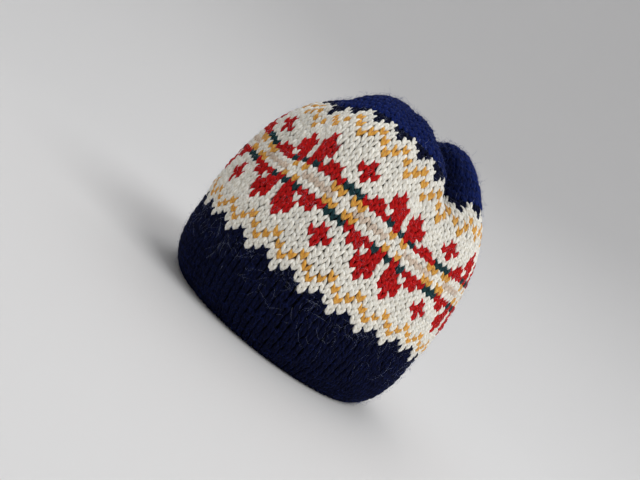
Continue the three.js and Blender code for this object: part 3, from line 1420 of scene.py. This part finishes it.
@dataclass
class PatternedBody:
    """The stranded body, one piece a yarn; the white yarn is in a lower and an upper piece."""

    knitter: Knitter

    def build(self, materials: dict[Yarn, bpy.types.Material]) -> list[bpy.types.Object]:
        """Builds and dresses the body.

        Args:
            materials: The yarns' materials.

        Returns:
            Its pieces.
        """
        gauge = self.knitter.sheet.gauge
        stitches = self.knitter.rounds(1, gauge.body_rounds)
        pieces = []
        for yarn in Yarn:
            own = [stitch for stitch in stitches if stitch.yarn is yarn]
            groups = {yarn.name.lower(): own}
            if yarn is Yarn.WHITE:
                groups = {
                    "lower_white": [stitch for stitch in own if stitch.row < gauge.middle_round],
                    "upper_white": [stitch for stitch in own if stitch.row >= gauge.middle_round],
                }
            for name, group in groups.items():
                lots = self.knitter.faces(group, StitchKind.PLAIN) + self.knitter.backs(group)
                piece = strands_object(f"{name}_stitches", lots)
                pieces.append(join_part(piece, Part.BODY, materials[yarn]))
        return pieces


@dataclass
class GatheredCrown:
    """The plain navy crown, in rounds that lose stitches towards the middle."""

    knitter: Knitter

    def build(self, wool: bpy.types.Material) -> list[bpy.types.Object]:
        """Builds and dresses the crown.

        Args:
            wool: Its yarn's material.

        Returns:
            Its piece.
        """
        gauge = self.knitter.sheet.gauge
        stitches = self.knitter.rounds(gauge.body_rounds + 1, gauge.body_rounds + gauge.crown_rounds)
        lots = self.knitter.faces(stitches, StitchKind.LOOSE) + self.knitter.backs(stitches)
        return [join_part(strands_object("crown_stitches", lots), Part.CROWN, wool)]


@dataclass
class Backing:
    """Thin closed walls in the middle of the fabric, seen only between the stitches, coloured with painted
    shade.
    """

    sheet: FabricSheet
    depth: float = 1.75 * MM
    thickness: float = 0.8 * MM
    rim_margin: float = 0.3
    # How dark the painted shade between the stitches is, as a share of the groove colour.
    shade: float = 0.35
    cells_a_stitch: int = 2

    def build(self, material: bpy.types.Material) -> list[bpy.types.Object]:
        """Builds and dresses a wall for each part.

        Args:
            material: The walls' material.

        Returns:
            The walls.
        """
        gauge = self.sheet.gauge
        walls = (
            (Part.BAND, Yarn.NAVY, gauge.rim_row + self.rim_margin, gauge.body_row),
            (Part.BODY, Yarn.WHITE, gauge.body_row, gauge.crown_row),
            (Part.CROWN, Yarn.NAVY, gauge.crown_row, gauge.top_row),
        )
        return [
            join_part(self._wall(part, first, last), part, material)
            for part, yarn, first, last in walls
        ]

    def _wall(self, part: Part, first: float, last: float) -> bpy.types.Object:
        """Builds the wall of one part, from a grid that runs from -1 to 1 both ways.

        Args:
            part: The part that it lies in.
            first: Its lowest row.
            last: Its highest row.

        Returns:
            The wall's object.
        """
        gauge = self.sheet.gauge
        columns, rounds = self.cells_a_stitch * gauge.stitches, round(self.cells_a_stitch * (last - first))
        wall = bmesh.new()
        bmesh.ops.create_grid(wall, x_segments=columns, y_segments=rounds, size=1)
        colours = wall.loops.layers.float_color.new("yarn")
        for face in wall.faces:
            middle = face.calc_center_median()
            share, row = (middle.x + 1) / 2, first + (middle.y + 1) / 2 * (last - first)
            finish = FINISHES[gauge.chart(round(share * gauge.stitches), math.floor(row + 0.5))]
            for loop in face.loops:
                # Painted shade: each cell takes its yarn's groove colour, darkened by the shade.
                loop[colours] = (*(channel * self.shade for channel in finish.groove[:3]), 1)
        wall.verts.ensure_lookup_table()
        spots = np.array([vert.co for vert in wall.verts])
        rows = first + (spots[:, 1] + 1) / 2 * (last - first)
        points, _ = self.sheet.place((spots[:, 0] + 1) / 2, rows, -self.depth)
        for vert, point in zip(wall.verts, points):
            vert.co = point
        piece = sewn_object(f"between_{part.value}", wall)
        solid = piece.modifiers.new("wall", "SOLIDIFY")
        solid.thickness = self.thickness
        solid.offset = -1
        return piece


class HairPatch(NamedTuple):
    """Hairs over some rows: how many, and their middle length, loft and radius in millimetres."""

    count: int
    first: float
    last: float
    length: float
    loft: float
    radius: float


@dataclass
class FibreHalo:
    """Fine hairs that stand off the wool, in a piece for each part.

    A hair curls by some radians and arches like a sine whose end is within the bow. Lengths and lofts have
    log-normal spreads, and thicknesses are shares of the patch's own.
    """

    sheet: FabricSheet
    seed: int = 21
    curl: float = 0.9
    length_spread: float = 0.35
    loft_spread: float = 0.4
    bow: tuple[float, float] = (1.2, 2.6)
    thickness_spread: tuple[float, float] = (0.7, 1.3)
    kink: float = 0.08 * MM
    clearance: float = 0.3 * MM
    hair: StrandShape = field(default_factory=lambda: StrandShape(sides=3, bends=3))

    def build(self, materials: dict[Yarn, bpy.types.Material]) -> list[bpy.types.Object]:
        """Builds and dresses the hairs.

        Args:
            materials: The hairs' materials by yarn.

        Returns:
            The pieces.
        """
        gauge = self.sheet.gauge
        rim, body, crown, top = gauge.rim_row + 0.5, gauge.body_row, gauge.crown_row, gauge.top_row - 2
        patches = {
            ("band_fibres", Part.BAND, Yarn.NAVY): (
                HairPatch(count=3000, first=rim, last=body, length=3.6, loft=1.6, radius=0.024),
            ),
            ("crown_fibres", Part.CROWN, Yarn.NAVY): (
                HairPatch(count=6400, first=crown, last=top, length=4, loft=2, radius=0.03),
            ),
            ("body_fibres", Part.BODY, Yarn.WHITE): (
                HairPatch(count=4400, first=body, last=crown, length=4, loft=1.8, radius=0.018),
                HairPatch(count=420, first=-2.5, last=1.5, length=7, loft=2.4, radius=0.014),
            ),
        }
        return [
            join_part(strands_object(name, [self._lay(patch) for patch in lots]), part, materials[yarn])
            for (name, part, yarn), lots in patches.items()
        ]

    def _lay(self, patch: HairPatch) -> StrandLot:
        """Scatters the hairs of one patch.

        Args:
            patch: The patch.

        Returns:
            The hairs.
        """
        random = np.random.default_rng(self.seed + patch.count)
        gauge, column = self.sheet.gauge, (patch.count, 1)
        stops = np.linspace(0, 1, self.hair.bends + 1)
        share = random.random(column)
        row = random.uniform(patch.first, patch.last, column)
        heading = random.uniform(0, FULL_TURN, column)
        angle = heading + random.normal(0, self.curl, column) * stops
        reach = patch.length * MM * random.lognormal(0, self.length_spread, column)
        step = reach * stops / gauge.stitch_width
        rise = patch.loft * MM * random.lognormal(0, self.loft_spread, column)
        height = self.clearance + rise * np.sin(stops * random.uniform(*self.bow, column))
        shares = share + step * np.cos(angle) / gauge.stitches
        path, out = self.sheet.place(shares, row + step * np.sin(angle), height)
        path = path + random.normal(0, self.kink, path.shape)
        path[..., 2] = np.maximum(path[..., 2], self.clearance)
        taper = np.sqrt(np.clip(1 - (2 * stops - 1) ** 2, 0, 1))
        thick = patch.radius * MM * random.uniform(*self.thickness_spread, column) * taper
        shelter = self.sheet.shelter(share, row)[:, 0]
        return StrandLot(self.hair, self.hair.sweep(path, out, thick), random.random(patch.count), shelter)


class SoftLight(NamedTuple):
    """A square light that faces the cap: its place and side in metres, its power in watts and its tint."""

    name: str
    place: tuple[float, float, float]
    size: float
    power: float
    tint: tuple[float, float, float]


LIGHTS = (
    SoftLight(name="key", place=(0.9, -0.85, 1.35), size=1.0, power=17, tint=(0.97, 0.985, 1.0)),
    SoftLight(name="fill", place=(-1.3, -1.0, 0.5), size=1.4, power=1.0, tint=(1.0, 0.96, 0.9)),
    SoftLight(name="back", place=(0.1, 0.9, 1.3), size=0.9, power=4.5, tint=(0.97, 0.985, 1.0)),
)


@dataclass
class Studio:
    """A plain pale floor that sweeps up all round, soft lights, a pale sky and the camera."""

    floor_radius: float = 0.45
    sweep_radius: float = 2.2
    wall_height: float = 2.6
    sweep_steps: int = 32
    floor_sides: int = 96
    light_aim: float = 80 * MM
    sky_colour: Colour = (0.92, 0.95, 1.0, 1.0)
    sky_strength: float = 0.65
    camera_place: tuple[float, float, float] = (-9.25 * MM, -408.4 * MM, 79.0 * MM)
    camera_dip: float = math.radians(2.3)
    camera_roll: float = math.radians(38.4)
    lens: float = 37.0
    sensor: float = 36.0

    def build(self) -> None:
        """Builds the floor, the lights, the sky and the camera."""
        self._floor()
        for lamp in LIGHTS:
            self._light(lamp)
        self._sky()
        self._camera()

    def _floor(self) -> None:
        """Builds a round floor with a curved edge, turned from one profile."""
        bowl = bmesh.new()
        bends = [step / self.sweep_steps * math.pi / 2 for step in range(self.sweep_steps + 1)]
        corner = [
            (self.floor_radius + self.sweep_radius * math.sin(bend), self.sweep_radius * (1 - math.cos(bend)))
            for bend in bends
        ]
        profile = [(0.0, 0.0), *corner, (self.floor_radius + self.sweep_radius, self.wall_height)]
        verts = [bowl.verts.new((x, 0, z)) for x, z in profile]
        edges = [bowl.edges.new(pair) for pair in zip(verts, verts[1:])]
        bmesh.ops.spin(
            bowl,
            geom=verts + edges,
            cent=(0, 0, 0),
            axis=(0, 0, 1),
            angle=FULL_TURN,
            steps=self.floor_sides,
            use_merge=True,
        )
        floor = sewn_object("studio_floor", bowl)
        floor.data.materials.append(FloorFinish().material())

    def _light(self, lamp: SoftLight) -> None:
        """Adds one light.

        Args:
            lamp: The light.
        """
        light = bpy.data.lights.new(lamp.name, "AREA")
        light.shape = "SQUARE"
        light.size = lamp.size
        light.energy = lamp.power
        light.color = lamp.tint
        stand = bpy.data.objects.new(lamp.name, light)
        stand.location = lamp.place
        aim = Vector((0, 0, self.light_aim)) - Vector(lamp.place)
        stand.rotation_euler = aim.to_track_quat("-Z", "Y").to_euler()
        bpy.context.scene.collection.objects.link(stand)

    def _sky(self) -> None:
        """Sets a pale sky, and shows colours as they are."""
        scene = bpy.context.scene
        scene.world = bpy.data.worlds.new("pale_sky")
        scene.world.use_nodes = True
        tree = scene.world.node_tree
        feeds = {"Color": self.sky_colour, "Strength": self.sky_strength}
        NodeBoard(tree).feed(tree.nodes["Background"], feeds)
        scene.view_settings.view_transform = "Standard"

    def _camera(self) -> None:
        """Adds the camera, nearly level with the cap and rolled, as the cap leans in the picture."""
        lens = bpy.data.cameras.new("camera")
        lens.lens = self.lens
        lens.sensor_width = self.sensor
        camera = bpy.data.objects.new("camera", lens)
        dip, roll = self.camera_dip, self.camera_roll
        level, up = Vector((1, 0, 0)), Vector((0, math.sin(dip), math.cos(dip)))
        right = math.cos(roll) * level + math.sin(roll) * up
        top = -math.sin(roll) * level + math.cos(roll) * up
        facing = Matrix((right, top, right.cross(top))).transposed().to_4x4()
        camera.matrix_world = Matrix.Translation(self.camera_place) @ facing
        bpy.context.scene.collection.objects.link(camera)
        bpy.context.scene.camera = camera


def main() -> None:
    """Builds the cap, its stray fibres and the studio, and reports each piece."""
    logging.basicConfig(level=logging.INFO, format="%(name)s: %(message)s")
    sheet = FabricSheet(CapForm(), Gauge())
    knitter = Knitter(sheet)
    fibres = WoolFibres().group()
    wools = {yarn: finish.material(fibres) for yarn, finish in FINISHES.items()}
    hairs = {yarn: finish.material(fibres) for yarn, finish in FIBRE_FINISHES.items()}
    pieces = [
        *RibbedBand(knitter).build(wools),
        *PatternedBody(knitter).build(wools),
        *GatheredCrown(knitter).build(LIT_CROWN_FINISH.material(fibres)),
        *Backing(sheet).build(BackingFinish().material()),
        *FibreHalo(sheet).build(hairs),
    ]
    for piece in pieces:
        LOG.info("%s: %d triangles", piece.name, sum(len(face.vertices) - 2 for face in piece.data.polygons))
    Studio().build()


if __name__ == "__main__":
    main()
